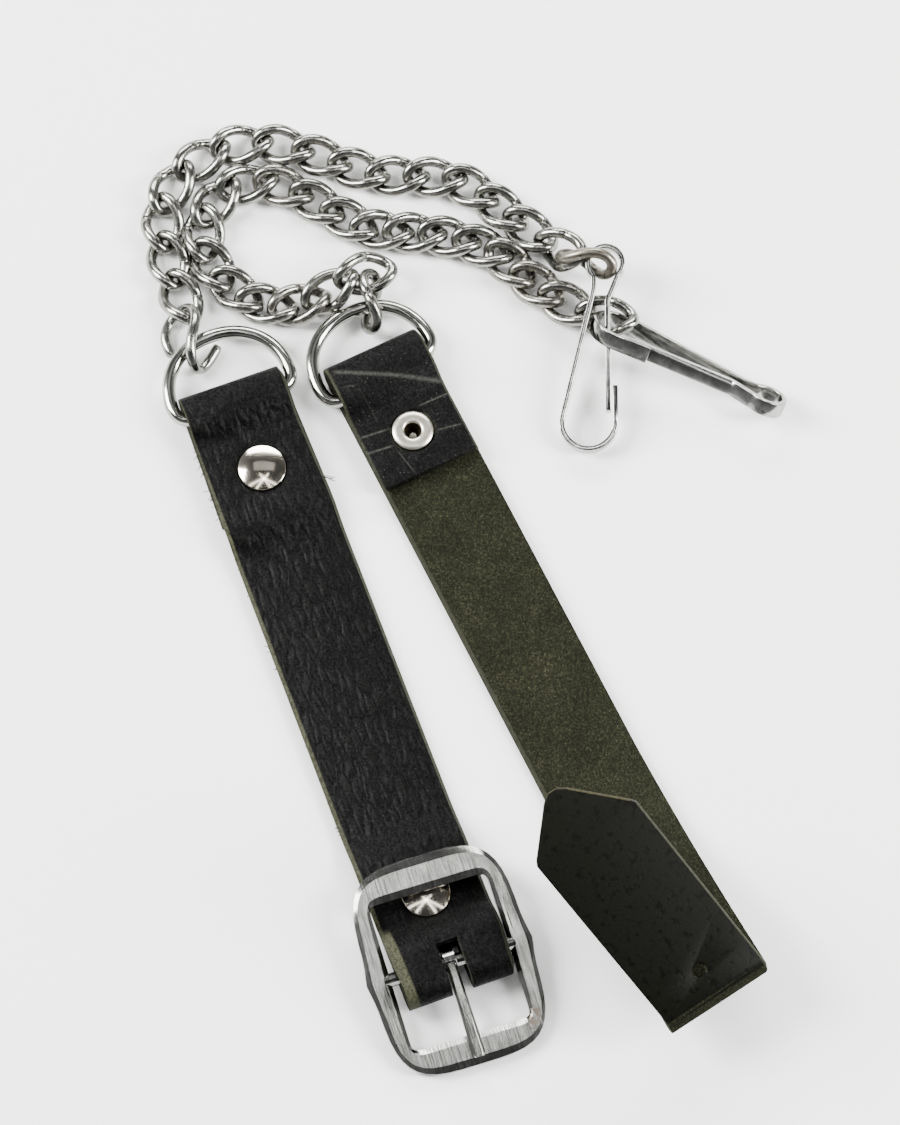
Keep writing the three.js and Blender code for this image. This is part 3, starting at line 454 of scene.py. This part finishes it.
def chrome(name, colour, shade, rough_low, rough_high, wave, wave_size):
    # Polished plate on drawn wire: mirror bright, slightly wavy where the tool pressed it, with a
    # film of brown tarnish where the attribute says so.
    material, tree, shader = new_material(name)
    place = add_node(tree, "ShaderNodeTexCoord").outputs["Object"]
    broad = noise(tree, place, 1.0 / (wave_size * MM), 3.0)
    fine = noise(tree, place, 900.0, 4.0)
    tint = ramp(tree, broad, [(0.3, shade), (0.7, colour)])
    film = add_node(tree, "ShaderNodeAttribute", {"attribute_name": "tarnish"}).outputs["Fac"]
    patch = maths(tree, "MULTIPLY", film, fine)
    strong = map_range(tree, patch, 0.0, 1 / 1.7, 0.0, 1.0)
    tree.links.new(blended(tree, strong, tint, "#5c4c2c"), shader.inputs["Base Color"])
    shader.inputs["Metallic"].default_value = 1.0
    rough = map_range(tree, fine, 0.0, 1.0, rough_low, rough_high)
    tree.links.new(maths(tree, "MULTIPLY_ADD", strong, 0.3, rough), shader.inputs["Roughness"])
    bump(tree, shader, broad, wave, 0.5)
    return material


link_chrome = chrome(
    "chromed_steel_wire", colour="#9c9c97", shade="#70706b", rough_low=0.12, rough_high=0.28,
    wave=0.2, wave_size=2.2)


def link_middle(angle):
    twist = math.radians(LINK_TWIST) * math.cos(angle)
    aside = math.sin(angle) * LINK_WIDTH / 2
    return Vector((math.cos(angle) * LINK_LENGTH / 2, aside * math.cos(twist), aside * math.sin(twist)))


bpy.ops.object.select_all(action="DESELECT")
bpy.ops.mesh.primitive_torus_add(
    major_segments=ROUND_STEPS, minor_segments=WIRE_STEPS, major_radius=1.0, minor_radius=0.25)
pattern_link = bpy.context.object
for vertex in pattern_link.data.vertices:
    co = vertex.co
    angle = math.atan2(co.y, co.x)
    around = math.atan2(co.z, math.hypot(co.x, co.y) - 1.0)
    from_joint = round(angle * ROUND_STEPS / (2 * math.pi)) - JOINT_STEP
    if abs(from_joint) <= 1:
        angle = 2 * math.pi * JOINT_STEP / ROUND_STEPS + from_joint * JOINT_WIDTH
    thickness = WIRE_RADIUS * (1 - JOINT_DEPTH * (from_joint == 0))
    middle = link_middle(angle)
    along = (link_middle(angle + 0.01) - link_middle(angle - 0.01)).normalized()
    lift = (Vector((0, 0, 1)) - along * along.z).normalized()
    out = along.cross(lift)
    vertex.co = (middle + (out * math.cos(around) + lift * math.sin(around)) * thickness) * MM
link_points = np.array([v.co[:] for v in pattern_link.data.vertices])

for node in sorted(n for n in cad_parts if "_link_" in n and n != "chain_a_link_01"):
    solid = np.array([v.co[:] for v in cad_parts[node].data.vertices])
    solid = np.unique(solid.round(6), axis=0)
    centre = solid.mean(axis=0)
    axes = np.linalg.eigh(np.cov((solid - centre).T))[1][:, ::-1]
    if np.linalg.det(axes) < 0:
        axes[:, 2] *= -1
    link = pattern_link.copy()
    link.data = pattern_link.data.copy()
    link.name = node + "_wire"
    bpy.context.collection.objects.link(link)
    placed = link_points @ axes.T + centre
    link.data.vertices.foreach_set("co", placed.ravel())
    film = link.data.attributes.new("tarnish", "FLOAT", "POINT")
    film.data.foreach_set("value", np.full(len(placed), TARNISH.get(node, 0.06)))
    link.data.materials.clear()
    link.data.materials.append(link_chrome)
    bpy.ops.object.select_all(action="DESELECT")
    link.select_set(True)
    bpy.context.view_layer.objects.active = link
    bpy.ops.object.mode_set(mode="EDIT")
    bpy.ops.mesh.select_all(action="SELECT")
    bpy.ops.mesh.normals_make_consistent(inside=False)
    bpy.ops.object.mode_set(mode="OBJECT")
    bpy.ops.object.shade_smooth()
    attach(link, "strap_and_chains")
    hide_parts(node)
bpy.data.objects.remove(pattern_link)


def rounded_wire(node, name, fatten):
    """A CAD wire smoothed to a round one; fatten makes up for what the smoothing takes."""
    piece = copied(node, name)
    bpy.ops.object.mode_set(mode="EDIT")
    bpy.ops.mesh.select_all(action="SELECT")
    bpy.ops.mesh.tris_convert_to_quads(face_threshold=math.pi, shape_threshold=math.pi)
    bpy.ops.transform.shrink_fatten(value=fatten * MM)
    bpy.ops.object.mode_set(mode="OBJECT")
    modifier = piece.modifiers.new("round", "SUBSURF")
    modifier.levels = 2
    modifier.render_levels = 2
    bpy.ops.object.modifier_apply(modifier=modifier.name)
    bpy.ops.object.shade_smooth()
    return piece


open_link = rounded_wire("chain_a_link_01", "chain_a_link_01_wire", fatten=0.4)
open_link.data.materials.append(link_chrome)
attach(open_link, "strap_and_chains")
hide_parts("chain_a_link_01")

# D-rings: thick steel wire bent to a D and chromed, held in the folds of the straps.
# The bow is worn bright, with soft long reflections.
ring_chrome = chrome(
    "chromed_ring_wire", colour="#b0b0ab", shade="#8a8a84", rough_low=0.08, rough_high=0.2,
    wave=0.12, wave_size=5.0)
for node in ("d_ring_buckle_strap", "d_ring_tip_strap"):
    ring = rounded_wire(node, node + "_wire", fatten=0.3)
    ring.data.materials.append(ring_chrome)
    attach(ring, "strap_and_chains")
    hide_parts(node)

# Rivets: capped rivets of warm nickel on the buckle strap, a rolled hollow one on the tip strap.
# They are set in the leather through both plies.
cap_nickel = chrome(
    "polished_warm_nickel", colour="#dcd5c6", shade="#c8bfae", rough_low=0.08, rough_high=0.16,
    wave=0.005, wave_size=4.0)
eyelet_nickel = chrome(
    "satin_warm_nickel", colour="#d2cebf", shade="#b5b1a2", rough_low=0.26, rough_high=0.4,
    wave=0.02, wave_size=3.0)
# The hollow rivet's bore: dark brown metal that is tarnish plus painted shade of the deep hole.
bore_tarnish_and_shade = chrome(
    "tarnished_and_shaded_rivet_bore", colour="#4a4130", shade="#1c1812", rough_low=0.4, rough_high=0.6,
    wave=0.05, wave_size=1.5)
BORE_RADIUS = 1.95
BORE_TOP = 0.3
CAP_RADIUS = 5.5
DOME_DROP = 1.0
for node, material in (
    ("rivet_buckle_strap_ring_end", cap_nickel),
    ("rivet_buckle_strap_buckle_end", cap_nickel),
    ("rivet_tip_strap", eyelet_nickel),
):
    rivet = rounded_wire(node, node + "_metal", fatten=0.06)
    rivet.data.materials.append(material)
    rivet.data.materials.append(bore_tarnish_and_shade)
    low, high = (Vector(corner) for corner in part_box(node))
    axis = (low + high) / 2
    if node != "rivet_tip_strap":
        for vertex in rivet.data.vertices:
            out = (vertex.co - axis).to_2d().length / (CAP_RADIUS * MM)
            dome = high.z - DOME_DROP * MM * out ** 2
            if vertex.co.z > high.z - (DOME_DROP + 0.1) * MM and out < 1:
                vertex.co.z = dome
    # Faces inside the hollow rivet's bore take the dark brown material: painted shade of the hole, plus
    # tarnish.
    for face in rivet.data.polygons:
        reach = (face.center - axis).to_2d().length
        hollow = node == "rivet_tip_strap" and reach < BORE_RADIUS * MM
        face.material_index = int(hollow and low.z + MM < face.center.z < high.z - BORE_TOP * MM)
    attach(rivet, "strap_and_chains")
    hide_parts(node)

# Buckle: a barrel-shaped frame cast with its centre bar, polished and chromed, and a bent tongue.
# Fine brushing runs across its front and rear bars.
BUCKLE_ANGLE = 17.5
FLAT_FACE_WEIGHT = 50
RUST_AT = (0.0153, -0.1003, 0.005)
buckle_chrome = chrome(
    "brushed_chromed_casting", colour="#a2a29e", shade="#7d7d79", rough_low=0.1, rough_high=0.22,
    wave=0.01, wave_size=6.0)
tree = buckle_chrome.node_tree
shader = tree.nodes["Principled BSDF"]
place = add_node(tree, "ShaderNodeTexCoord").outputs["Object"]
turned = turned_flat(tree, place, math.radians(-BUCKLE_ANGLE))
brush = noise(tree, stretched(tree, turned, 2100.0, 110.0, 600.0), 1.0, 3.0)
under = shader.inputs["Normal"].links[0].from_socket
brushed = add_node(tree, "ShaderNodeBump", None, Height=brush, Distance=0.05 * MM, Strength=0.8, Normal=under)
tree.links.new(brushed.outputs["Normal"], shader.inputs["Normal"])
far = add_node(tree, "ShaderNodeVectorMath", {"operation": "DISTANCE"}, i0=place, i1=RUST_AT).outputs["Value"]
spotted = add_node(tree, "ShaderNodeTexNoise", None, Vector=place, Scale=1100.0, Detail=4.0).outputs["Fac"]
near_rust = map_range(tree, far, 0.6 * MM, 3.0 * MM, 0.9, 0.0)
rust = maths(tree, "MULTIPLY", near_rust, map_range(tree, spotted, 0.42, 0.6, 0.0, 1.0))
bright = shader.inputs["Base Color"].links[0].from_socket
streaked = blended(tree, map_range(tree, brush, 0.35, 0.65, 0.55, 0.0), bright, "#565653")
tree.links.new(blended(tree, rust, streaked, "#6b4a26"), shader.inputs["Base Color"])
dull = shader.inputs["Roughness"].links[0].from_socket
tree.links.new(maths(tree, "MULTIPLY_ADD", rust, 0.5, dull), shader.inputs["Roughness"])
for node, body, edge in (("buckle_frame", "frame", 0.22), ("buckle_tongue", "tongue", 0.2)):
    piece = copied(node, node + "_metal")
    bevelled(piece, edge, 18, 3)
    smooth(piece, 60)
    modifier = piece.modifiers.new("flat faces", "WEIGHTED_NORMAL")
    modifier.weight = FLAT_FACE_WEIGHT
    modifier.keep_sharp = True
    bpy.ops.object.modifier_apply(modifier=modifier.name)
    piece.data.materials.append(buckle_chrome)
    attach(piece, body)
    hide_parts(node)

# Clips: one strip of spring steel each, bent on edge to a loop, a back, a hook and a gate.
# The plating is bright, the strip's edges are a little rounded.
clip_steel = chrome(
    "plated_spring_strip", colour="#adadaa", shade="#7f7f7b", rough_low=0.08, rough_high=0.22,
    wave=0.06, wave_size=2.5)
for node in ("clip_a", "clip_b"):
    clip = copied(node, node + "_strip")
    bevelled(clip, 0.14, 50)
    smooth(clip, 35)
    clip.data.materials.append(clip_steel)
    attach(clip, "strap_and_chains")
    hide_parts(node)

# Table, light and camera: a pale table under soft boxes, seen from the front at 70 degrees above.
TABLE_SIZE = 3.0
CAMERA_TARGET = Vector((-0.0027, 0.00626, 0.0))
CAMERA_DISTANCE = 1.2
CAMERA_ELEVATION = 70.0
SENSOR = 36.0
PHOTO_SCALE = 4.45
PHOTO_HEIGHT = 1125
bpy.ops.object.select_all(action="DESELECT")
bpy.ops.mesh.primitive_plane_add(size=TABLE_SIZE, location=(0, 0, -0.0001))
table = bpy.context.object
table.name = "table"
paper, tree, shader = new_material("matt_white_paper")
shader.inputs["Base Color"].default_value = linear("#f6f6f5")
shader.inputs["Roughness"].default_value = 0.9
table.data.materials.append(paper)

world = bpy.data.worlds.new("studio")
bpy.context.scene.world = world
world.use_nodes = True
tree = world.node_tree
look = add_node(tree, "ShaderNodeTexCoord").outputs["Generated"]
height = add_node(tree, "ShaderNodeSeparateXYZ", None, Vector=look).outputs["Z"]
sky = ramp(tree, height, [(0.0, "#c8c8c8"), (0.45, "#8e8f90"), (0.8, "#48494b"), (1.0, "#38393b")])
tree.links.new(sky, tree.nodes["Background"].inputs["Color"])
tree.nodes["Background"].inputs["Strength"].default_value = 1.0


def soft_box(name, place, size, power):
    light = bpy.data.lights.new(name, "AREA")
    light.shape = "RECTANGLE"
    light.size, light.size_y = size
    light.energy = power
    lamp = bpy.data.objects.new(name, light)
    lamp.location = place
    lamp.rotation_euler = (Vector((0, 0, 0)) - Vector(place)).to_track_quat("-Z", "Y").to_euler()
    bpy.context.collection.objects.link(lamp)


soft_box("left_box", place=(-1.0, 0.2, 0.8), size=(0.5, 0.9), power=58.0)
soft_box("right_box", place=(1.0, -0.1, 0.7), size=(0.4, 0.9), power=44.0)
soft_box("rear_box", place=(0.0, 1.2, 0.8), size=(1.2, 0.4), power=34.0)
soft_box("upper_box", place=(0.0, 0.6, 1.45), size=(0.9, 0.4), power=0.7)
for aside in (-0.36, -0.12, 0.12, 0.36):
    soft_box("top_strip", place=(aside, -0.15, 1.5), size=(0.06, 1.0), power=1.2)

camera = bpy.data.cameras.new("camera")
camera.sensor_width = SENSOR
camera.lens = SENSOR * PHOTO_SCALE * CAMERA_DISTANCE / MM / PHOTO_HEIGHT
eye = bpy.data.objects.new("camera", camera)
tilt = math.radians(CAMERA_ELEVATION)
eye.location = CAMERA_TARGET + CAMERA_DISTANCE * Vector((0, -math.cos(tilt), math.sin(tilt)))
eye.rotation_euler = (CAMERA_TARGET - eye.location).to_track_quat("-Z", "Y").to_euler()
bpy.context.collection.objects.link(eye)
bpy.context.scene.camera = eye
